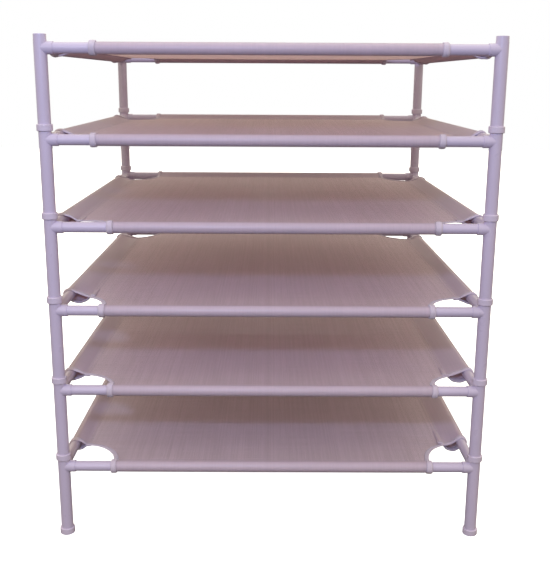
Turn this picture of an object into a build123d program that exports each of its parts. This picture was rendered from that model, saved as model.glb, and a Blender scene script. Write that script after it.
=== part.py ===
from build123d import *
import math
import os

# A shoe rack of stacked, identical modules. Each module is a square frame: four moulded
# corner legs with two rail sockets each, four tube rails pressed into those sockets, a
# see-through mesh shelf whose sewn sleeves run over the rails, and four couplers, one
# plugged into the bottom of each leg. A coupler's skirt slips over the top of the leg
# below it, so the modules lift off one by one, and the lowest four couplers are the feet.
#
# Millimetres, +Z up, +X to the right, the front at -Y. The origin is on the floor, at
# the centre of the rack's plan. Tier 1 is the lowest.

# --- Driving dimensions ---------------------------------------------------------------

tier_count = 6
tier_pitch = 130.0       # one shelf to the next
leg_spacing_x = 660.0    # between leg axes, left to right
leg_spacing_y = 660.0    # between leg axes, front to back

leg_diameter = 19.0
leg_wall = 2.0
leg_top_edge = 0.8       # rounding round the leg's closed top
spigot_length = 8.0      # thinner top of the leg, which a coupler slips over
spigot_step = 0.25       # how much thinner, on the radius
leg_bore_ceiling = 4.0   # plastic between the leg's bore and its rail sockets

rail_diameter = 16.0
rail_wall = 0.7
rail_fit = 0.05          # radial clearance of a rail in its socket

socket_depth = 10.5
socket_wall = 1.2
socket_web = 0.45        # plastic between the inner corners of a leg's two sockets
socket_edge = 0.5        # rounding round a socket's mouth

coupler_wall = 2.25      # skirt, measured outwards from its bore
coupler_skirt = 7.0      # how far it reaches down over the leg below
coupler_web = 1.5        # plate that the leg above stands on
coupler_lip = 1.5        # rim round the foot of the leg above
coupler_edge = 1.2       # rounding of the outer edges
coupler_slip = 0.25      # radial clearance over the leg below
coupler_gap = 3.25       # open height between a rail socket and the skirt above it
plug_length = 14.0
plug_wall = 1.5
plug_fit = 0.05          # radial clearance of the plug in the leg's bore

mesh_thickness = 1.2
sleeve_fabric = 0.8
sleeve_clearance = 0.3   # between a sleeve and the rail in it
front_pocket = 6.0       # flat run from the round of a front or back sleeve to its seam
side_pocket = 17.0       # the same on the left and right sleeves
sleeve_end_x = 75.0      # leg axis to the ends of the front and back sleeves
sleeve_end_y = 80.0      # leg axis to the ends of the left and right sleeves
cutout_radius = 45.0     # inner corner of each corner cut-out

# --- Worked out -----------------------------------------------------------------------

leg_radius = leg_diameter / 2
leg_bore_radius = leg_radius - leg_wall
spigot_radius = leg_radius - spigot_step
rail_radius = rail_diameter / 2
socket_bore_radius = rail_radius + rail_fit
socket_radius = socket_bore_radius + socket_wall
socket_stop = socket_bore_radius + socket_web        # leg axis to a socket's floor
socket_reach = socket_stop + socket_depth            # leg axis to a socket's mouth
leg_top_rise = socket_radius + coupler_gap + coupler_skirt
leg_length = tier_pitch - coupler_web
leg_bore_length = leg_length - leg_top_rise - socket_radius - leg_bore_ceiling

skirt_radius = spigot_radius + coupler_slip
coupler_radius = skirt_radius + coupler_wall
coupler_height = coupler_skirt + coupler_web + coupler_lip

sleeve_inner_radius = rail_radius + sleeve_clearance
sleeve_outer_radius = sleeve_inner_radius + sleeve_fabric
front_seam = sleeve_outer_radius + front_pocket      # rail axis to the seam
side_seam = sleeve_outer_radius + side_pocket
bottom_rail_height = tier_pitch - leg_top_rise + coupler_skirt

corner_turns = {"front_left": 0, "front_right": 90, "back_right": 180, "back_left": 270}


def rail_height(tier):
    """Height of a tier's rail centre lines above the floor."""
    return bottom_rail_height + (tier - 1) * tier_pitch


def corner_position(corner):
    """Plan position of a corner's leg axis."""
    x = leg_spacing_x / 2 if "right" in corner else -leg_spacing_x / 2
    y = leg_spacing_y / 2 if "back" in corner else -leg_spacing_y / 2
    return x, y


def cylinder_along_z(radius, bottom, top):
    """A solid cylinder on the Z axis, from one height to another."""
    return Pos(0, 0, (bottom + top) / 2) * Cylinder(radius, top - bottom)


# --- Leg ------------------------------------------------------------------------------

def socket_axes(shape):
    """The same shape turned from Z to the leg's two socket directions, +X and +Y."""
    return [Rot(0, 90, 0) * shape, Rot(-90, 0, 0) * shape]


def make_leg():
    """One leg on the Z axis, its rail sockets at height 0 facing +X and +Y."""
    leg_bottom = leg_top_rise - leg_length
    spigot_bottom = leg_top_rise - spigot_length
    spigot = cylinder_along_z(spigot_radius, 0, leg_top_rise)
    top_rim = spigot.edges().filter_by(GeomType.CIRCLE).sort_by(Axis.Z)[-1]
    leg = fillet(top_rim, leg_top_edge)
    leg += cylinder_along_z(leg_radius, leg_bottom, spigot_bottom)
    stub = cylinder_along_z(socket_radius, 0, socket_reach)
    mouth_rim = stub.edges().filter_by(GeomType.CIRCLE).sort_by(Axis.Z)[-1]
    stub = fillet(mouth_rim, socket_edge)
    for placed in socket_axes(stub):
        leg += placed
    for placed in socket_axes(cylinder_along_z(socket_bore_radius, socket_stop, socket_reach)):
        leg -= placed
    return leg - cylinder_along_z(leg_bore_radius, leg_bottom, leg_bottom + leg_bore_length)


# --- Coupler --------------------------------------------------------------------------

def make_coupler():
    """One coupler on the Z axis, its skirt's rim at height 0."""
    web_bottom = coupler_skirt
    web_top = coupler_skirt + coupler_web
    ring = cylinder_along_z(coupler_radius, 0, coupler_height)
    ring = fillet(ring.edges().filter_by(GeomType.CIRCLE), coupler_edge)
    ring -= cylinder_along_z(skirt_radius, 0, web_bottom)
    ring -= cylinder_along_z(leg_radius + plug_fit, web_top, coupler_height)
    plug_radius = leg_bore_radius - plug_fit
    plug = cylinder_along_z(plug_radius, web_top, web_top + plug_length)
    plug_top = plug.edges().filter_by(GeomType.CIRCLE).sort_by(Axis.Z)[-1]
    plug = chamfer(plug_top, plug_wall / 2)
    plug -= cylinder_along_z(plug_radius - plug_wall, web_top, web_top + plug_length)
    return ring + plug


# --- Rail -----------------------------------------------------------------------------

def make_rail(leg_spacing):
    """A tube along Z, centred, that stands on the floors of two facing sockets."""
    half = leg_spacing / 2 - socket_stop
    tube = cylinder_along_z(rail_radius, -half, half)
    return tube - cylinder_along_z(rail_radius - rail_wall, -half, half)


def place_rails(height):
    """The four rails of a module, by side."""
    along_x = Rot(0, 90, 0) * make_rail(leg_spacing_x)
    along_y = Rot(90, 0, 0) * make_rail(leg_spacing_y)
    return {
        "front": Pos(0, -leg_spacing_y / 2, height) * along_x,
        "back": Pos(0, leg_spacing_y / 2, height) * along_x,
        "left": Pos(-leg_spacing_x / 2, 0, height) * along_y,
        "right": Pos(leg_spacing_x / 2, 0, height) * along_y,
    }


# --- Mesh shelf -----------------------------------------------------------------------

def teardrop(radius, tip):
    """A circle drawn out to a point at +X, the outline of a sleeve pulled to its seam."""
    turn = math.acos(radius / tip)
    touch = (radius * math.cos(turn), radius * math.sin(turn))
    wedge = Polygon((tip, 0), touch, (touch[0], -touch[1]), align=None)
    return Circle(radius) + wedge


def make_sleeve(length, seam):
    """A sewn sleeve round the Z axis, centred, with its seam towards +X."""
    inner_tip = seam * sleeve_inner_radius / sleeve_outer_radius
    outline = teardrop(sleeve_outer_radius, seam) - teardrop(sleeve_inner_radius, inner_tip)
    return Pos(0, 0, -length / 2) * extrude(outline, length)


def sheet_half_size(leg_spacing, seam):
    """Half the flat sheet's width: it ends inside the two seams, between their tips."""
    inner_tip = seam * sleeve_inner_radius / sleeve_outer_radius
    return leg_spacing / 2 - (seam + inner_tip) / 2


def make_shelf():
    """The mesh shelf of one module at height 0: sheet, four sleeves, four cut-outs."""
    half_x = leg_spacing_x / 2
    half_y = leg_spacing_y / 2
    sheet_x = sheet_half_size(leg_spacing_x, side_seam)
    sheet_y = sheet_half_size(leg_spacing_y, front_seam)
    shelf = Box(2 * sheet_x, 2 * sheet_y, mesh_thickness)
    front_sleeve = Rot(0, 90, 0) * Rot(0, 0, 90) * make_sleeve(leg_spacing_x, front_seam)
    side_sleeve = Rot(90, 0, 0) * make_sleeve(leg_spacing_y, side_seam)
    for turn in (0, 180):
        shelf += Rot(0, 0, turn) * Pos(0, -half_y, 0) * front_sleeve
        shelf += Rot(0, 0, turn) * Pos(-half_x, 0, 0) * side_sleeve
    overrun = 2 * sleeve_outer_radius
    block = Box(sleeve_end_x + overrun, sleeve_end_y + overrun, 2 * overrun)
    block = Pos((sleeve_end_x - overrun) / 2, (sleeve_end_y - overrun) / 2, 0) * block
    inner_edge = block.edges().filter_by(Axis.Z).sort_by(lambda edge: edge.center().X + edge.center().Y)[-1]
    cutout = fillet(inner_edge, cutout_radius)
    for x_sign in (-1, 1):
        for y_sign in (-1, 1):
            corner = cutout
            if x_sign > 0:
                corner = mirror(corner, Plane.YZ)
            if y_sign > 0:
                corner = mirror(corner, Plane.XZ)
            shelf -= Pos(x_sign * half_x, y_sign * half_y, 0) * corner
    return shelf


# --- Assembly -------------------------------------------------------------------------

def module_parts(tier):
    """Every node of one module, by node name."""
    height = rail_height(tier)
    parts = {}
    couplers = []
    for corner, turn in corner_turns.items():
        x, y = corner_position(corner)
        parts[f"tier_{tier}_leg_{corner}"] = Pos(x, y, height) * Rot(0, 0, turn) * leg
        coupler_bottom = height - tier_pitch + leg_top_rise - coupler_skirt
        couplers.append(Pos(x, y, coupler_bottom) * coupler)
    for side, rail in place_rails(height).items():
        parts[f"tier_{tier}_{side}_rail"] = rail
    parts[f"tier_{tier}_mesh_shelf"] = Pos(0, 0, height) * shelf
    parts[f"tier_{tier}_foot_couplers"] = Compound(children=couplers)
    return parts


leg = make_leg()
coupler = make_coupler()
shelf = make_shelf()

os.makedirs("parts", exist_ok=True)
for tier in range(1, tier_count + 1):
    for node, shape in module_parts(tier).items():
        export_step(shape, f"parts/{node}.step")
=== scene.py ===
import math

import bpy
import numpy as np
from mathutils import Matrix, Vector
from mathutils.geometry import delaunay_2d_cdt


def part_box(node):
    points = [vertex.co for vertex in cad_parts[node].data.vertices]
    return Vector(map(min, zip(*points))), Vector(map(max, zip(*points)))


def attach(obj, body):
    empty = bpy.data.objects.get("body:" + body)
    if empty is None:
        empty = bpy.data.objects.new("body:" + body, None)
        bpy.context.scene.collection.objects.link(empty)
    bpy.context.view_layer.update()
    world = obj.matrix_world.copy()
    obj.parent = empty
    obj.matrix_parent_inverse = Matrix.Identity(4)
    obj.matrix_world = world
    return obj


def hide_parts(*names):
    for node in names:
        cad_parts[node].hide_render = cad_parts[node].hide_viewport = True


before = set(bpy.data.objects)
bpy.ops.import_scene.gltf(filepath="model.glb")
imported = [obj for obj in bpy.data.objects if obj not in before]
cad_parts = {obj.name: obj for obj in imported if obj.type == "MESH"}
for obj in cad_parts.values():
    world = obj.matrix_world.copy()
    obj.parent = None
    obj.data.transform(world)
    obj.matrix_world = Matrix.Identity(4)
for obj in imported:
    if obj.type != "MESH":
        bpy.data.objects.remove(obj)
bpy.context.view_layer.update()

# The looks of the tiered shoe rack: sewn mesh shelves, tape bindings, stitching, the
# materials of every piece, light and camera. Metres, +Z up, the front at -Y.

MM = 0.001
TIERS = range(1, 7)
CORNERS = [(-1, -1), (1, -1), (1, 1), (-1, 1)]      # left -1, right 1; front -1, back 1


def middle(node):
    """The centre of a CAD node's box."""
    low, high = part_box(node)
    return (Vector(low) + Vector(high)) / 2


HALF_X = middle("tier_1_right_rail").x
HALF_Y = middle("tier_1_back_rail").y

# --- How each shelf hangs -------------------------------------------------------------

WRAP_RADIUS = 8.7 * MM       # middle of the cloth where it goes round a rail
CLOTH = 0.5 * MM             # thickness of the cloth
HEM = 8 * MM                 # the sleeve's end, sewn on under the panel
HEM_DROP = 0.8 * MM          # how far under the panel the hem lies
END_SEAM = 15.1 * MM         # rail axis to the front and back seams
CUTOUT_REACH = 58 * MM       # how far a cut-out's curve runs along the front and back
TAPE = 6 * MM                # how far a binding reaches in from the cloth's edge

SAG = 5 * MM
CREASES = 7                  # how many fan out in a whole turn round a mouth
CREASE_HEIGHT = 0.9 * MM
CREASE_START = 20 * MM       # from the mouth to where they have mostly risen
CREASE_REACH = 110 * MM      # how far they run before they fade
CURL_REACH = 38 * MM         # how far the panel's curl at a mouth spreads
UNEVEN = 0.25 * MM           # the panel's slight unevenness, and its size each way
UNEVEN_ACROSS = 23 * MM
UNEVEN_ALONG = 61 * MM

MOUTH_REACH = 34 * MM        # how deep into a sleeve its layers hang loose
LOWER_FULLNESS = 0.8         # under 1, the lower layer hangs fuller towards its ends
LOWER_SET_BACK = 2.5 * MM    # how far the lower layer pulls back from the mouth

# Small waves along the cloth or tape: size and length, one wave being 2 pi lengths.
FLUTTER = (0.35, 9 * MM)            # of a loose layer's hang
RING_PULSE = (0.2, 6 * MM)          # of a binding's bunching
PUCKER = (0.10, 1.9 * MM)           # of a binding's thickness, in mm
SLOW_PUCKER = (0.08, 4.3 * MM)
WAVER = (0.35, 17 * MM)             # of a binding's inner edge, in mm

# How far apart the waves of tiers, sides and ends start, so that no two corners match.
PHASES = (1.7, 2.3, 3.1)

# Per tier, in mm. ends: leg axis to the front sleeve's left and right ends. mouths: leg
# axis to the front mouths of the left and right sleeves. seams: rail axis to the left
# and right seams. upper, lower: how far the two layers hang at the left and right
# mouths (below zero, a layer bulges up). curl: the same for the panel at the mouth.
HANG = {
    1: {"ends": (77, 69), "mouths": (77, 91), "seams": (19, 32), "upper": (-1.5, 4.0),
        "lower": (2.0, 8.0), "curl": (0.5, 3.0)},
    2: {"ends": (76, 67), "mouths": (68, 75), "seams": (25, 35), "upper": (-1.0, 1.5),
        "lower": (3.0, 7.0), "curl": (0.0, 1.5)},
    3: {"ends": (68, 77), "mouths": (91, 79), "seams": (35, 21), "upper": (2.0, -0.5),
        "lower": (8.0, 2.0), "curl": (2.0, 0.0)},
    4: {"ends": (86, 74), "mouths": (62, 69), "seams": (26, 26), "upper": (-1.5, 0.5),
        "lower": (4.5, 1.5), "curl": (1.6, 1.3)},
    5: {"ends": (67, 75), "mouths": (85, 85), "seams": (26, 26), "upper": (1.0, 2.0),
        "lower": (3.5, 4.0), "curl": (0.0, 1.0)},
    6: {"ends": (71, 77), "mouths": (80, 80), "seams": (26, 26), "upper": (0.5, -0.5),
        "lower": (3.0, 2.5), "curl": (0.5, 0.5)},
}
# The same at the back, where no corner shows closely.
BACK = {"ends": 75, "mouths": 80, "upper": 0.5, "lower": 3.0, "curl": 0.0}

# How finely the cloth is cut into triangles.
PANEL_STEP = 8 * MM
FLAP_STEPS = (4 * MM, 2.2 * MM, 4 * MM, 4 * MM)     # up, round, back and along the hem
EDGE_STEP = 4 * MM
MOUTH_DEPTHS = (2.5, 5, 8, 11, 14, 18, 22, 27)      # extra lines behind a mouth, in mm
EDGE_CLEARANCE = 1.3 * MM    # from a cut-out's edge to the nearest inner point
LONG_EDGE = 20 * MM          # a straight edge longer than this is split
NORMAL_STEP = 0.3 * MM       # half the distance over which the cloth's slope is taken
INSIDE_ONLY = 1              # delaunay_2d_cdt's output type for triangles in an outline
SAME_POINT = 1e-7            # points nearer than this are merged


def wave(kind, run, phase):
    """A small wave of a kind (size and length) along a run."""
    size, length = kind
    return size * np.sin(run / length + phase)


def flap_runs(seam):
    """Lengths along a sleeve's cloth: straight to the rail, then round it, and the angle
    at which the cloth meets the rail. seam: rail axis to the seam."""
    straight = math.sqrt(seam**2 - WRAP_RADIUS**2)
    turn = math.acos(WRAP_RADIUS / seam)
    return straight, 2 * (math.pi - turn) * WRAP_RADIUS, turn


def flap_length(seam):
    """From the seam round the rail, back to the seam and on to the hem's end."""
    straight, around, _ = flap_runs(seam)
    return 2 * straight + around + HEM


def wrap(run, seam):
    """Where a sleeve's cloth is, a run past the seam: distance in from the rail's axis,
    height, and how far along the upper and the lower layer that is (0 to 1)."""
    straight, around, turn = flap_runs(seam)
    touch_in = WRAP_RADIUS * math.cos(turn)
    touch_up = WRAP_RADIUS * math.sin(turn)
    upper = np.clip(run / straight, 0, 1)
    angle = turn + np.clip(run - straight, 0, around) / WRAP_RADIUS
    lower = np.clip((run - straight - around) / straight, 0, 1)
    hem = np.clip(run - 2 * straight - around, 0, None)
    falling = seam + (touch_in - seam) * upper
    inward = np.where(upper < 1, falling, WRAP_RADIUS * np.cos(angle))
    height = np.where(upper < 1, touch_up * upper, WRAP_RADIUS * np.sin(angle))
    inward = np.where(lower > 0, touch_in + (seam - touch_in) * lower + hem, inward)
    height = np.where(lower > 0, -touch_up * (1 - lower) - HEM_DROP * lower, height)
    return inward, height, upper, lower


def panel_share(upper, lower):
    """How much of the panel's own height carries on into a sleeve: all at the seam and
    the hem, none round the rail."""
    return np.where(lower > 0, lower, 1 - upper)


def grid_lines(low, high, low_seam, high_seam):
    """Cut lines across the flat cloth, closer on its flaps, where it bends round a rail.
    low, high: from the cut's middle to the two seams. low_seam, high_seam: rail axis to
    each seam."""
    count = round((low + high) / PANEL_STEP) + 1
    lines = list(np.linspace(-low, high, count))
    for sign, start, seam in ((-1, low, low_seam), (1, high, high_seam)):
        straight, around, _ = flap_runs(seam)
        marks = [0, straight, straight + around, 2 * straight + around, flap_length(seam)]
        for a, b, step in zip(marks, marks[1:], FLAP_STEPS):
            count = max(1, round((b - a) / step))
            lines += [sign * (start + a + (b - a) * k / count) for k in range(1, count + 1)]
    return np.array(sorted(lines))


def split_long(edge, width_lines, length_lines):
    """Adds a point wherever a cut line meets one of the flaps' long straight edges."""
    made = []
    for a, b in zip(edge, np.roll(edge, -1, axis=0)):
        made.append(a)
        if np.linalg.norm(b - a) <= LONG_EDGE:
            continue
        axis = 0 if abs(b[0] - a[0]) > abs(b[1] - a[1]) else 1
        lines = width_lines if axis == 0 else length_lines
        low, high = sorted((a[axis], b[axis]))
        between = [place for place in lines if low + MM < place < high - MM]
        if b[axis] < a[axis]:
            between.reverse()
        for place in between:
            point = a.copy()
            point[axis] = place
            made.append(point)
    return np.array(made)


class Shelf:
    """One shelf's cut and how it hangs. Flat places are in metres from the cut's middle."""

    def __init__(self, tier):
        hang = HANG[tier]
        self.tier = tier
        self.height = middle(f"tier_{tier}_front_rail").z
        self.seam = {(-1, 0): hang["seams"][0] * MM, (1, 0): hang["seams"][1] * MM,
                     (0, -1): END_SEAM, (0, 1): END_SEAM}
        self.corner = {}
        for cx, cy in CORNERS:
            side = 0 if cx < 0 else 1
            here = {key: (hang[key][side] if cy < 0 else back) for key, back in BACK.items()}
            v = HALF_Y - here["mouths"] * MM
            self.corner[cx, cy] = {
                "u": HALF_X - here["ends"] * MM,
                "v": v,
                "rise": self.seam_v(cy) - v,
                "upper": here["upper"] * MM,
                "lower": here["lower"] * MM,
                "curl": here["curl"] * MM,
                "phase": PHASES[0] * tier + PHASES[1] * cx + PHASES[2] * cy,
            }

    def seam_u(self, side):
        return HALF_X - self.seam[side, 0]

    def seam_v(self, end):
        return HALF_Y - self.seam[0, end]

    def panel_height(self, u, v):
        """The sagging panel, with creases that fan out from the mouths of the sleeves."""
        middle_u = (self.seam_u(1) - self.seam_u(-1)) / 2
        half_u = (self.seam_u(1) + self.seam_u(-1)) / 2
        across = np.clip((u - middle_u) / half_u, -1, 1)
        along = np.clip(v / self.seam_v(1), -1, 1)
        height = -SAG * (1 - across**2) * (1 - along**2)
        for (cx, cy), c in self.corner.items():
            out = self.seam_u(cx) - cx * u
            back = c["v"] - cy * v
            reach = np.hypot(out, back)
            angle = np.arctan2(back, out)
            fan = np.sin(CREASES * angle + c["phase"]) * (1 - np.exp(-reach / CREASE_START))
            height += CREASE_HEIGHT * fan * np.exp(-reach / CREASE_REACH) * (1 - across**8)
            height -= c["curl"] * np.exp(-((reach / CURL_REACH) ** 2))
        uneven = np.sin(u / UNEVEN_ACROSS + self.tier) * np.sin(v / UNEVEN_ALONG + 2 * self.tier)
        return height + UNEVEN * uneven * (1 - across**2) * (1 - along**2)

    def place(self, u, v):
        """Where flat places lie on the hung shelf."""
        x = u.copy()
        y = v.copy()
        z = self.panel_height(u, v)
        for side in (-1, 1):
            past = side * u - self.seam_u(side)
            on = past > 0
            inward, height, upper, lower = wrap(past[on], self.seam[side, 0])
            for cy in (-1, 1):
                c = self.corner[side, cy]
                depth = np.clip(c["v"] - cy * v[on], 0, None)
                near = np.exp(-((depth / MOUTH_REACH) ** 2))
                flutter = 1 + wave(FLUTTER, depth, c["phase"])
                bulge = np.sin(math.pi * lower)
                height -= c["upper"] * near * flutter * np.sin(math.pi * upper)
                height -= c["lower"] * near * flutter * bulge**LOWER_FULLNESS
                y[on] -= cy * LOWER_SET_BACK * near * bulge**2
            x[on] = side * (HALF_X - inward)
            z[on] = height + z[on] * panel_share(upper, lower)
        for end in (-1, 1):
            past = end * v - self.seam_v(end)
            on = past > 0
            inward, height, upper, lower = wrap(past[on], END_SEAM)
            y[on] = end * (HALF_Y - inward)
            z[on] = height + z[on] * panel_share(upper, lower)
        return np.stack([x, y, z + self.height], axis=-1)

    def lay(self, u, v, off=0.0):
        """Flat places on the hung shelf, a distance off the cloth's middle."""
        across = self.place(u + NORMAL_STEP, v) - self.place(u - NORMAL_STEP, v)
        along = self.place(u, v + NORMAL_STEP) - self.place(u, v - NORMAL_STEP)
        normal = np.cross(across, along)
        normal /= np.linalg.norm(normal, axis=-1, keepdims=True)
        return self.place(u, v) + normal * np.asarray(off)[..., None]

    def corner_line(self, cx, cy, step):
        """One corner's edge, from the end sleeve's hem round the cut-out to the side
        sleeve's hem: flat places and the flat direction into the cloth."""
        c = self.corner[cx, cy]
        far_v = self.seam_v(cy) + flap_length(END_SEAM)
        far_u = self.seam_u(cx) + flap_length(self.seam[cx, 0])
        low_v = c["v"] + c["rise"]
        low_u = c["u"] + CUTOUT_REACH
        points, inward = [], []
        for t in np.linspace(0, 1, max(2, round((far_v - low_v) / step)), endpoint=False):
            points.append((c["u"], far_v + (low_v - far_v) * t))
            inward.append((-1.0, 0.0))
        quarter = (CUTOUT_REACH + c["rise"]) * math.pi / 4
        for t in np.linspace(0, 1, round(quarter / step), endpoint=False):
            across = math.cos(t * math.pi / 2)
            along = math.sin(t * math.pi / 2)
            points.append((low_u - CUTOUT_REACH * across, low_v - c["rise"] * along))
            square = Vector((-across / CUTOUT_REACH, -along / c["rise"])).normalized()
            inward.append(tuple(square))
        for t in np.linspace(0, 1, max(2, round((far_u - low_u) / step))):
            points.append((low_u + (far_u - low_u) * t, c["v"]))
            inward.append((0.0, -1.0))
        signs = np.array([cx, cy])
        return np.array(points) * signs, np.array(inward) * signs

    def outline(self):
        """The whole cut's edge, anticlockwise."""
        loop = []
        for cx, cy in CORNERS:
            line, _ = self.corner_line(cx, cy, EDGE_STEP)
            # the end hem comes first at the front right and the back left
            loop.append(line if cx * cy < 0 else line[::-1])
        return np.concatenate(loop)

    def depth_in_cutouts(self, u, v):
        """How far inside the nearest cut-out a flat place is; below zero on the cloth."""
        deepest = np.full(np.shape(u), -math.inf)
        for (cx, cy), c in self.corner.items():
            a = cx * u - c["u"]
            b = cy * v - c["v"]
            rounded = (a < CUTOUT_REACH) & (b < c["rise"])
            arc = c["rise"] * (1 - np.hypot(1 - a / CUTOUT_REACH, 1 - b / c["rise"]))
            deepest = np.maximum(deepest, np.where(rounded, arc, np.minimum(a, b)))
        return deepest

    def past_seams(self, u, v):
        """How far past the nearest seam, onto a sleeve, a flat place is."""
        past = [side * u - self.seam_u(side) for side in (-1, 1)]
        past += [end * v - self.seam_v(end) for end in (-1, 1)]
        return np.max(past, axis=0)

    def flat_size(self):
        """The cut's width and length."""
        width = self.seam_u(-1) + self.seam_u(1)
        width += flap_length(self.seam[-1, 0]) + flap_length(self.seam[1, 0])
        length = 2 * (self.seam_v(1) + flap_length(END_SEAM))
        return width, length

    def cloth(self):
        """The cut as flat places and triangles."""
        width_lines = grid_lines(self.seam_u(-1), self.seam_u(1),
                                 self.seam[-1, 0], self.seam[1, 0])
        length_lines = grid_lines(self.seam_v(-1), self.seam_v(1), END_SEAM, END_SEAM)
        behind = [cy * (c["v"] - depth * MM)
                  for (_, cy), c in self.corner.items() for depth in MOUTH_DEPTHS]
        length_lines = np.array(sorted([*length_lines, *behind]))
        grid_u, grid_v = np.meshgrid(width_lines, length_lines)
        grid_u, grid_v = grid_u.ravel(), grid_v.ravel()
        inside = self.depth_in_cutouts(grid_u, grid_v) < -EDGE_CLEARANCE
        inside &= (grid_u > width_lines[0] + MM) & (grid_u < width_lines[-1] - MM)
        inside &= (grid_v > length_lines[0] + MM) & (grid_v < length_lines[-1] - MM)
        edge = split_long(self.outline(), width_lines, length_lines)
        flat = np.concatenate([edge, np.stack([grid_u[inside], grid_v[inside]], axis=1)])
        ring = list(range(len(edge)))
        result = delaunay_2d_cdt([Vector(p) for p in flat], [], [ring], INSIDE_ONLY, SAME_POINT)
        places = np.array([tuple(p) for p in result[0]])
        triangles = [tuple(face) for face in result[2]]
        return places, triangles


def new_object(name, vertices, faces, material, flat=None):
    """A smooth-shaded mesh object, with its flat places as UVs if given."""
    mesh = bpy.data.meshes.new(name)
    mesh.from_pydata([tuple(p) for p in vertices], [], faces)
    mesh.validate()
    mesh.polygons.foreach_set("use_smooth", [True] * len(mesh.polygons))
    if flat is not None:
        layer = mesh.uv_layers.new(name="flat")
        corners = np.zeros(len(mesh.loops), int)
        mesh.loops.foreach_get("vertex_index", corners)
        layer.data.foreach_set("uv", np.asarray(flat)[corners].ravel())
    mesh.materials.append(material)
    thing = bpy.data.objects.new(name, mesh)
    bpy.context.scene.collection.objects.link(thing)
    return thing


# --- Bindings -------------------------------------------------------------------------

# Section of a binding folded over the cloth's edge: distance in from the edge and height
# off the cloth, in mm.
TAPE_SECTION = [
    (6.0, 0.28), (6.1, 0.62), (5.2, 0.92), (3.0, 1.02), (0.8, 1.00), (-0.4, 0.8),
    (-1.0, 0.3), (-1.0, -0.2), (-0.4, -0.6), (0.8, -0.74), (5.2, -0.70), (6.1, -0.5),
    (6.0, -0.28), (0.3, -0.28), (0.0, 0.0), (0.3, 0.28),
]
TAPE_STEP = 2.5 * MM         # between sections
PUCKERED = 0.5               # section points higher than this pucker, in mm
INNER_EDGE = 4               # section points further in than this waver, in mm
BUNCHED = 0.3                # section points higher than this bunch up, in mm
RING = 1.5                   # how much a binding thickens where it goes round a rail
RING_WIDTH = 0.45            # how much it widens there
RING_START = 14 * MM         # how far past the seam it is bunched up fully
RING_MEAN = 0.8


def tape_mesh(shelf):
    """The four bindings of one shelf, each round a corner's whole edge: vertices, faces,
    and how far along and across the tape each vertex is."""
    vertices, faces, flats = [], [], []
    count = len(TAPE_SECTION)
    across_steps = [math.dist(a, b) for a, b in zip(TAPE_SECTION, TAPE_SECTION[1:])]
    across_runs = np.cumsum([0] + across_steps) * MM
    for cx, cy in CORNERS:
        line, inward = shelf.corner_line(cx, cy, TAPE_STEP)
        steps = np.linalg.norm(np.diff(line, axis=0), axis=1)
        runs = np.concatenate([[0], np.cumsum(steps)])
        first = len(vertices)
        phase = shelf.corner[cx, cy]["phase"]
        ring = np.clip(shelf.past_seams(line[:, 0], line[:, 1]) / RING_START, 0, 1)
        ring *= RING_MEAN + wave(RING_PULSE, runs, phase)
        pucker = wave(PUCKER, runs, phase) + wave(SLOW_PUCKER, runs, 2 * phase)
        waver = wave(WAVER, runs, phase)
        sections = []
        for across, off in TAPE_SECTION:
            reach = across * (1 + RING_WIDTH * ring) + (waver if across > INNER_EDGE else 0)
            height = off + (pucker if off > PUCKERED else 0)
            height = height * (1 + (RING * ring if off > BUNCHED else 0))
            flat = line + inward * reach[:, None] * MM
            sections.append(shelf.lay(flat[:, 0], flat[:, 1], height * MM))
        vertices += [tuple(p) for p in np.stack(sections, axis=1).reshape(-1, 3)]
        flats += [(run, across_run) for run in runs for across_run in across_runs]
        # two of the corners run the other way round, so their faces are turned over
        flip = cx * cy > 0
        for i in range(len(runs) - 1):
            for k in range(count):
                a = first + i * count + k
                b = first + i * count + (k + 1) % count
                quad = (a, b, b + count, a + count)
                faces.append(quad if flip else quad[::-1])
        start = tuple(first + k for k in range(count))
        end = tuple(first + (len(runs) - 1) * count + k for k in range(count))
        faces.append(start[::-1] if flip else start)
        faces.append(end if flip else end[::-1])
    return vertices, faces, flats


# --- Stitches -------------------------------------------------------------------------

STITCH_PITCH = 4.4 * MM
STITCH_LENGTH = 3.1 * MM
STITCH_RADIUS = 0.26 * MM
STITCH_SIDES = 5
# Rings of a stitch: place along it, as a share of its length, then size and lift, in radii.
STITCH_RINGS = [(-0.5, 0.35, -0.3), (-0.32, 0.9, 0.25), (0.0, 1.0, 0.5), (0.32, 0.9, 0.25),
                (0.5, 0.35, -0.3)]
SEAM_ROWS = (1.2 * MM, 6.4 * MM)    # the two rows' distances in from a seam
BINDING_ROW_IN = 4.4 * MM    # a binding's row, in from the cloth's edge
BINDING_ROW_OFF = 0.98 * MM  # and off the cloth's middle, on top of the binding


def stitch_row(shelf, start, end, off, vertices, faces):
    """A row of stitches between two flat places, a distance off the cloth's middle."""
    start, end = np.array(start), np.array(end)
    length = np.linalg.norm(end - start)
    count = int(length / STITCH_PITCH)
    direction = (end - start) / length
    middles = start + direction * ((np.arange(count) + 0.5) * length / count)[:, None]
    add_stitches(shelf, middles, np.tile(direction, (count, 1)), off, vertices, faces)


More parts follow.
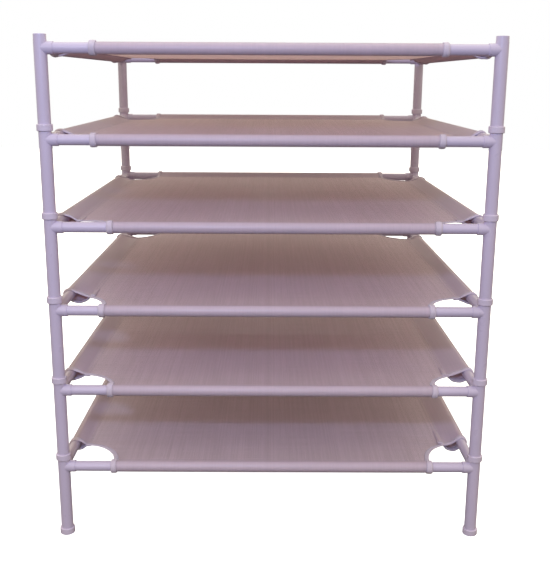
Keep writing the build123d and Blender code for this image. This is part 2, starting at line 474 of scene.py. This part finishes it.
def add_stitches(shelf, middles, directions, off, vertices, faces):
    """Stitches at flat places, each a little thread arched over the cloth, or under it
    where off is below zero."""
    sign = 1 if off > 0 else -1
    base = shelf.lay(middles[:, 0], middles[:, 1])
    normals = (shelf.lay(middles[:, 0], middles[:, 1], MM) - base) / MM
    ahead = middles + directions * MM
    along = shelf.lay(ahead[:, 0], ahead[:, 1]) - base
    along /= np.linalg.norm(along, axis=1, keepdims=True)
    sideways = np.cross(normals, along)
    for k in range(len(middles)):
        first = len(vertices)
        for place, size, lift in STITCH_RINGS:
            centre = base[k] + along[k] * place * STITCH_LENGTH
            centre = centre + normals[k] * (off + sign * lift * STITCH_RADIUS)
            for j in range(STITCH_SIDES):
                turn = 2 * math.pi * j / STITCH_SIDES
                ring = sideways[k] * math.cos(turn) + normals[k] * math.sin(turn)
                vertices.append(tuple(centre + ring * size * STITCH_RADIUS))
        for i in range(len(STITCH_RINGS) - 1):
            for j in range(STITCH_SIDES):
                a = first + i * STITCH_SIDES + j
                b = first + i * STITCH_SIDES + (j + 1) % STITCH_SIDES
                faces.append((a, b, b + STITCH_SIDES, a + STITCH_SIDES))
        last = first + (len(STITCH_RINGS) - 1) * STITCH_SIDES
        faces.append(tuple(first + j for j in range(STITCH_SIDES))[::-1])
        faces.append(tuple(last + j for j in range(STITCH_SIDES)))


def stitch_mesh(shelf):
    """Two rows along each seam, above and below, and a row on each binding as far as it
    follows the panel."""
    vertices, faces = [], []
    over = CLOTH / 2
    under = -(HEM_DROP + CLOTH / 2)
    for inset in SEAM_ROWS:
        for end in (-1, 1):
            v = end * (shelf.seam_v(end) - inset)
            left, right = [cx * (shelf.corner[cx, end]["u"] - TAPE) for cx in (-1, 1)]
            for off in (over, under):
                stitch_row(shelf, (left, v), (right, v), off, vertices, faces)
        for side in (-1, 1):
            u = side * (shelf.seam_u(side) - inset)
            front, back = [cy * (shelf.corner[side, cy]["v"] - TAPE) for cy in (-1, 1)]
            for off in (over, under):
                stitch_row(shelf, (u, front), (u, back), off, vertices, faces)
    for cx, cy in CORNERS:
        line, inward = shelf.corner_line(cx, cy, STITCH_PITCH)
        middles = (line[1:] + line[:-1]) / 2
        middles += (inward[1:] + inward[:-1]) / 2 * BINDING_ROW_IN
        directions = np.diff(line, axis=0)
        directions /= np.linalg.norm(directions, axis=1, keepdims=True)
        on_panel = shelf.past_seams(middles[:, 0], middles[:, 1]) < 0
        add_stitches(shelf, middles[on_panel], directions[on_panel], BINDING_ROW_OFF,
                     vertices, faces)
    return vertices, faces


# --- Materials ------------------------------------------------------------------------

LILAC = (0.560, 0.480, 0.640)
PALE_LILAC = (0.600, 0.515, 0.660)
TAPE_LILAC = (0.600, 0.510, 0.640)
THREAD = (0.885, 0.770, 0.900)       # the woven yarn
SLEEVE = (0.690, 0.600, 0.750)       # the cloth drawn tight over a rail
THROUGH = (0.940, 0.790, 0.760)      # light that comes through the cloth
THROUGH_SHARE = 0.45
SCUFF = (0.74, 0.70, 0.72)
TAPE_DIRT = (0.50, 0.40, 0.46)
TAPE_FUZZ = (0.78, 0.72, 0.80)
# the sewing thread's painted shade in the grooves between its plies, and its painted light on
# their crests
STITCH_GROOVE_SHADE = (0.52, 0.43, 0.55)
STITCH_CREST_LIGHT = (0.74, 0.66, 0.76)

WEAVE_PITCH = 1.6 * MM
YARN_EDGE = (0.72, 0.80)     # where a yarn ends and a hole begins, in half pitches
SEAM_BLUR = 0.6 * MM         # half the width over which the panel's look turns into a sleeve's
TAPE_RIB = 0.9 * MM
TAPE_YARN = 0.6 * MM
THREAD_TWIST = 0.5 * MM


def shade(colour, factor):
    return tuple(part * factor for part in colour)


class Graph:
    """Shorthand for building one material's nodes."""

    def __init__(self, name):
        self.material = bpy.data.materials.new(name)
        self.material.use_nodes = True
        self.tree = self.material.node_tree
        self.shader = self.tree.nodes["Principled BSDF"]

    def link(self, value, socket):
        """Gives a socket another node's output, a colour of three parts or a number."""
        if isinstance(value, bpy.types.NodeSocket):
            self.tree.links.new(value, socket)
        elif isinstance(value, tuple):
            socket.default_value = (*value, 1.0)
        else:
            socket.default_value = value

    def math(self, operation, *values):
        node = self.tree.nodes.new("ShaderNodeMath")
        node.operation = operation
        for value, socket in zip(values, node.inputs):
            self.link(value, socket)
        return node.outputs[0]

    def coordinates(self, kind):
        return self.tree.nodes.new("ShaderNodeTexCoord").outputs[kind]

    def attribute(self, name):
        node = self.tree.nodes.new("ShaderNodeAttribute")
        node.attribute_name = name
        return node.outputs["Fac"]

    def split(self, vector):
        node = self.tree.nodes.new("ShaderNodeSeparateXYZ")
        self.link(vector, node.inputs[0])
        return node.outputs

    def stretch(self, parts, factors):
        """A vector of three parts, each multiplied by its own factor."""
        node = self.tree.nodes.new("ShaderNodeCombineXYZ")
        for part, factor, socket in zip(parts, factors, node.inputs):
            self.link(self.math("MULTIPLY", part, factor), socket)
        return node.outputs[0]

    def noise(self, vector, scale, detail):
        node = self.tree.nodes.new("ShaderNodeTexNoise")
        self.link(vector, node.inputs["Vector"])
        node.inputs["Scale"].default_value = scale
        node.inputs["Detail"].default_value = detail
        return node.outputs[0]

    def random(self, value):
        """A random number from 0 to 1 that is the same for the same value."""
        node = self.tree.nodes.new("ShaderNodeTexWhiteNoise")
        node.noise_dimensions = "1D"
        self.link(value, node.inputs["W"])
        return node.outputs["Value"]

    def spread(self, value, low, high, to_low=0.0, to_high=1.0):
        """A value from low to high, spread from to_low to to_high and held there."""
        node = self.tree.nodes.new("ShaderNodeMapRange")
        for part, socket in zip((value, low, high, to_low, to_high), node.inputs):
            self.link(part, socket)
        return node.outputs[0]

    def mix(self, factor, a, b):
        node = self.tree.nodes.new("ShaderNodeMix")
        node.data_type = "RGBA"
        self.link(factor, node.inputs["Factor"])
        self.link(a, node.inputs["A"])
        self.link(b, node.inputs["B"])
        return node.outputs["Result"]

    def bump(self, height, distance, strength):
        node = self.tree.nodes.new("ShaderNodeBump")
        node.inputs["Distance"].default_value = distance
        node.inputs["Strength"].default_value = strength
        self.link(height, node.inputs["Height"])
        return node.outputs[0]

    def glow_through(self, share, colour):
        """Lets a share of the light through the surface, as thin cloth does."""
        through = self.tree.nodes.new("ShaderNodeBsdfTranslucent")
        self.link(colour, through.inputs["Color"])
        both = self.tree.nodes.new("ShaderNodeMixShader")
        both.inputs["Fac"].default_value = share
        self.tree.links.new(self.shader.outputs[0], both.inputs[1])
        self.tree.links.new(through.outputs[0], both.inputs[2])
        surface = self.tree.nodes["Material Output"].inputs["Surface"]
        self.tree.links.new(both.outputs[0], surface)

    def finish(self, **sockets):
        for name, value in sockets.items():
            self.link(value, self.shader.inputs[name.replace("_", " ")])
        return self.material


def plastic(name, colour, roughness, peel):
    """Moulded or coated plastic: soft gloss, faint flow marks, scuffs and handling grime.
    peel: how fine its skin's unevenness is."""
    g = Graph(name)
    place = g.coordinates("Object")
    cloudy = g.noise(place, scale=9.0, detail=4.0)
    flow = g.noise(place, scale=60.0, detail=3.0)
    scratch = g.noise(g.stretch(g.split(place), (900.0, 900.0, 60.0)), scale=1.0, detail=2.0)
    scuff = g.math("MULTIPLY", g.spread(scratch, 0.64, 0.72), g.spread(cloudy, 0.5, 0.65))
    tone = g.mix(g.spread(cloudy, 0.3, 0.7), shade(colour, 0.965), shade(colour, 1.03))
    tone = g.mix(g.spread(flow, 0.35, 0.75, to_high=0.10), tone, shade(colour, 0.88))
    tone = g.mix(g.math("MULTIPLY", scuff, 0.22), tone, SCUFF)
    rough = g.spread(flow, 0.3, 0.7, to_low=roughness - 0.03, to_high=roughness + 0.05)
    rough = g.math("ADD", rough, g.math("MULTIPLY", scuff, 0.15))
    skin = g.noise(place, scale=peel, detail=2.0)
    height = g.math("SUBTRACT", skin, g.math("MULTIPLY", scuff, 0.3))
    return g.finish(Base_Color=tone, Roughness=rough,
                    Normal=g.bump(height, distance=0.12 * MM, strength=0.35),
                    Coat_Weight=0.12, Coat_Roughness=0.15)


def mesh_cloth():
    """Open plain weave of coated yarn, laid out by the cut's own flat places. Over the
    rails it is closed up and smoother."""
    g = Graph("shelf_mesh_weave")
    u, v, _ = g.split(g.coordinates("UV"))
    sleeve = g.spread(g.attribute("past_seam"), -SEAM_BLUR, SEAM_BLUR)
    a = g.math("DIVIDE", u, WEAVE_PITCH)
    b = g.math("DIVIDE", v, WEAVE_PITCH)

    def yarn(across, along):
        """Distance from the nearest yarn's middle (0 to 1), its number, how it goes over
        and under, and where it is rather than a hole."""
        off = g.math("ABSOLUTE", g.math("SUBTRACT", g.math("FRACT", across), 0.5))
        off = g.math("MULTIPLY", off, 2.0)
        row = g.math("FLOOR", across)
        weaving = g.math("SINE", g.math("MULTIPLY", g.math("ADD", along, row), math.pi))
        there = g.spread(off, *YARN_EDGE, to_low=1.0, to_high=0.0)
        return off, row, weaving, there

    def relief(off, weaving, there):
        """A yarn's height, round in section."""
        fall = g.math("SUBTRACT", 1.0, g.math("POWER", off, 2.0))
        crown = g.math("SQRT", g.math("MAXIMUM", fall, 0.0))
        lift = g.math("MULTIPLY_ADD", weaving, 0.35, 0.65)
        return g.math("MULTIPLY", g.math("MULTIPLY", crown, lift), there)

    warp_off, warp_row, warp_weaving, warp = yarn(a, b)
    weft_off, weft_row, weft_weaving, weft = yarn(b, g.math("ADD", a, 0.5))
    height = g.math("MAXIMUM", relief(warp_off, warp_weaving, warp),
                    relief(weft_off, weft_weaving, weft))

    # each yarn has its own tone, and broader streaks run both ways
    slub = g.noise(g.stretch((u, v, 0.0), (260.0, 9.0, 1.0)), scale=1.0, detail=2.0)
    band = g.noise(g.stretch((u, v, 7.0), (9.0, 260.0, 1.0)), scale=1.0, detail=2.0)
    streak = g.math("MULTIPLY_ADD", g.random(warp_row), 0.3,
                    g.math("MULTIPLY", g.random(weft_row), 0.2))
    broader = g.math("MULTIPLY_ADD", slub, 0.6, g.math("MULTIPLY", band, 0.5))
    streak = g.spread(g.math("ADD", streak, broader), 0.60, 1.00)

    cloudy = g.noise(g.coordinates("Object"), scale=7.0, detail=4.0)
    tone = g.mix(streak, shade(THREAD, 0.82), shade(THREAD, 1.10))
    # painted shade: the weave is darker where its yarns fall away, at their sides and between
    # them
    tone = g.mix(g.spread(height, 0.3, 1.0, to_low=0.45, to_high=0.0), tone,
                 shade(THREAD, 0.60))
    tone = g.mix(g.spread(cloudy, 0.35, 0.7, to_high=0.16), tone, shade(THREAD, 0.66))
    drawn = g.mix(streak, shade(SLEEVE, 0.98), shade(SLEEVE, 1.02))
    tone = g.mix(g.math("MULTIPLY", sleeve, 0.85), tone, drawn)
    rough = g.math("SUBTRACT", g.spread(streak, 0.0, 1.0, to_low=0.42, to_high=0.52),
                   g.math("MULTIPLY", sleeve, 0.12))
    cover = g.math("MAXIMUM", g.math("MAXIMUM", warp, weft), sleeve)
    flatter = g.math("SUBTRACT", 1.0, g.math("MULTIPLY", sleeve, 0.6))
    height = g.math("MULTIPLY", height, flatter)
    g.glow_through(THROUGH_SHARE, THROUGH)
    return g.finish(Base_Color=tone, Roughness=rough, Alpha=cover,
                    Normal=g.bump(height, distance=0.25 * MM, strength=0.8),
                    Sheen_Weight=0.12, Sheen_Roughness=0.4)


def tape_cloth():
    """Ribbed woven tape: fine ribs across it and yarns along it, a little dirty and
    fuzzy."""
    g = Graph("binding_tape")
    run, across, _ = g.split(g.coordinates("UV"))
    rib = g.math("SINE", g.math("MULTIPLY", run, 2 * math.pi / TAPE_RIB))
    yarn = g.math("SINE", g.math("MULTIPLY", across, 2 * math.pi / TAPE_YARN))
    height = g.math("MULTIPLY_ADD", yarn, 0.35, rib)
    fuzz = g.noise(g.coordinates("Object"), scale=420.0, detail=3.0)
    dirt = g.noise(g.coordinates("Object"), scale=45.0, detail=3.0)
    # painted shade in the dips between the tape's ribs and yarns, painted light on their crests
    tone = g.mix(g.spread(height, -1.2, 1.2), shade(TAPE_LILAC, 0.84), shade(TAPE_LILAC, 1.05))
    tone = g.mix(g.spread(dirt, 0.45, 0.8, to_high=0.35), tone, TAPE_DIRT)
    tone = g.mix(g.math("MULTIPLY", fuzz, 0.12), tone, TAPE_FUZZ)
    return g.finish(Base_Color=tone, Roughness=0.7,
                    Normal=g.bump(height, distance=0.08 * MM, strength=0.8),
                    Sheen_Weight=0.25, Sheen_Roughness=0.45)


def stitch_thread():
    """Twisted sewing thread."""
    g = Graph("sewing_thread")
    x, y, z = g.split(g.coordinates("Object"))
    slant = g.math("ADD", g.math("ADD", x, y), z)
    ply = g.math("SINE", g.math("MULTIPLY", slant, 2 * math.pi / THREAD_TWIST))
    # painted shade in the grooves between the plies, painted light on their crests, following
    # the ply bump
    tone = g.mix(g.spread(ply, -1.0, 1.0), STITCH_GROOVE_SHADE, STITCH_CREST_LIGHT)
    return g.finish(Base_Color=tone, Roughness=0.6,
                    Normal=g.bump(ply, distance=0.05 * MM, strength=0.6),
                    Sheen_Weight=0.2, Sheen_Roughness=0.4)


def floor_paint():
    """Plain pale studio floor that reads white."""
    g = Graph("studio_floor")
    cloudy = g.noise(g.coordinates("Object"), scale=1.5, detail=2.0)
    tone = g.mix(cloudy, (0.86, 0.86, 0.86), (0.88, 0.88, 0.88))
    return g.finish(Base_Color=tone, Roughness=0.8, Emission_Color=(0.95, 0.97, 1.0),
                    Emission_Strength=1.0)


FINISHES = {
    "_leg_": plastic("leg_plastic_gloss", LILAC, roughness=0.30, peel=900.0),
    "coupler": plastic("coupler_plastic_gloss", PALE_LILAC, roughness=0.27, peel=700.0),
    "rail": plastic("rail_coating", LILAC, roughness=0.36, peel=1500.0),
}
weave = mesh_cloth()
tape = tape_cloth()
thread = stitch_thread()

for name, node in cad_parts.items():
    for word, finish in FINISHES.items():
        if word in name:
            for material_slot in node.material_slots:
                material_slot.material = finish

# --- Shelves --------------------------------------------------------------------------

for tier in TIERS:
    shelf = Shelf(tier)
    body = f"tier_{tier}"
    flat, triangles = shelf.cloth()
    laid = shelf.lay(flat[:, 0], flat[:, 1])
    cloth = new_object(f"shelf_{tier}_cloth", laid, triangles, weave, flat)
    past = cloth.data.attributes.new("past_seam", "FLOAT", "POINT")
    past.data.foreach_set("value", shelf.past_seams(flat[:, 0], flat[:, 1]))
    thick = cloth.modifiers.new("thickness", "SOLIDIFY")
    thick.thickness = CLOTH
    thick.offset = 0
    vertices, faces, tape_runs = tape_mesh(shelf)
    bindings = new_object(f"shelf_{tier}_bindings", vertices, faces, tape, tape_runs)
    stitches = new_object(f"shelf_{tier}_stitches", *stitch_mesh(shelf), thread)
    for piece in (cloth, bindings, stitches):
        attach(piece, body)
    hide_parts(f"tier_{tier}_mesh_shelf")
    width, length = shelf.flat_size()
    edge = shelf.outline()

# --- Floor and light ------------------------------------------------------------------

FLOOR_SIZE = 14
bpy.ops.mesh.primitive_plane_add(size=FLOOR_SIZE, location=(0, 0, 0))
floor = bpy.context.object
floor.name = "studio_floor"
floor.data.materials.append(floor_paint())
# the floor glows, so it is kept from lighting the rack from below
floor.visible_diffuse = False
floor.visible_glossy = False
floor.visible_transmission = False

scene = bpy.context.scene
scene.view_settings.view_transform = "Standard"

# The sky lights the rack, dim below the horizon and bright above; the camera sees white.
SKY_BELOW = (0.46, (0.12, 0.10, 0.09, 1.0))     # height, 0 to 1 with the horizon at 0.5
SKY_ABOVE = (0.54, (1.08, 0.98, 0.78, 1.0))
scene.world = bpy.data.worlds.new("studio")
scene.world.use_nodes = True
nodes = scene.world.node_tree.nodes
links = scene.world.node_tree.links
sky = nodes["Background"]
direction = nodes.new("ShaderNodeTexCoord")
axes = nodes.new("ShaderNodeSeparateXYZ")
half_up = nodes.new("ShaderNodeMath")
half_up.operation = "MULTIPLY_ADD"
half_up.inputs[1].default_value = 0.5
half_up.inputs[2].default_value = 0.5
ramp = nodes.new("ShaderNodeValToRGB")
for element, (position, colour) in zip(ramp.color_ramp.elements, (SKY_BELOW, SKY_ABOVE)):
    element.position = position
    element.color = colour
links.new(direction.outputs["Generated"], axes.inputs[0])
links.new(axes.outputs["Z"], half_up.inputs[0])
links.new(half_up.outputs[0], ramp.inputs[0])
links.new(ramp.outputs[0], sky.inputs["Color"])
white = nodes.new("ShaderNodeBackground")
white.inputs["Color"].default_value = (1.0, 1.0, 1.0, 1.0)
seen = nodes.new("ShaderNodeLightPath")
either = nodes.new("ShaderNodeMixShader")
links.new(seen.outputs["Is Camera Ray"], either.inputs[0])
links.new(sky.outputs[0], either.inputs[1])
links.new(white.outputs[0], either.inputs[2])
links.new(either.outputs[0], nodes["World Output"].inputs[0])

LIGHTS_AIM = Vector((0, 0, 0.4))


def area_light(name, place, size, power, colour):
    light = bpy.data.lights.new(name, "AREA")
    light.shape = "DISK"
    light.size = size
    light.energy = power
    light.color = colour
    lamp = bpy.data.objects.new(name, light)
    lamp.location = place
    lamp.rotation_euler = (LIGHTS_AIM - Vector(place)).to_track_quat("-Z", "Y").to_euler()
    scene.collection.objects.link(lamp)


area_light("overhead", (0, 0, 2.2), size=1.6, power=6, colour=(0.75, 1.0, 0.95))
area_light("key", (-0.25, -1.65, 1.15), size=0.12, power=11, colour=(0.47, 0.61, 1.0))

# --- Camera ---------------------------------------------------------------------------

CAMERA_PLACE = (-2.16 * MM, -HALF_Y - 1199.85 * MM, 726.87 * MM)
YAW, PITCH, ROLL = 0.0027, 0.2292, 0.0051       # radians; the pitch is downwards
LENS = 51.06                                    # mm
SHIFT_X, SHIFT_Y = 0.0072, -0.0326

level = Vector((math.cos(YAW), -math.sin(YAW), 0))
look = Vector((math.sin(YAW) * math.cos(PITCH), math.cos(YAW) * math.cos(PITCH),
               -math.sin(PITCH)))
upright = level.cross(look)
right = level * math.cos(ROLL) + upright * math.sin(ROLL)
up = upright * math.cos(ROLL) - level * math.sin(ROLL)
turned = Matrix((right, up, -look)).transposed().to_4x4()
camera_data = bpy.data.cameras.new("camera")
camera_data.lens = LENS
camera_data.shift_x = SHIFT_X
camera_data.shift_y = SHIFT_Y
camera = bpy.data.objects.new("camera", camera_data)
camera.matrix_world = Matrix.Translation(CAMERA_PLACE) @ turned
scene.collection.objects.link(camera)
scene.camera = camera
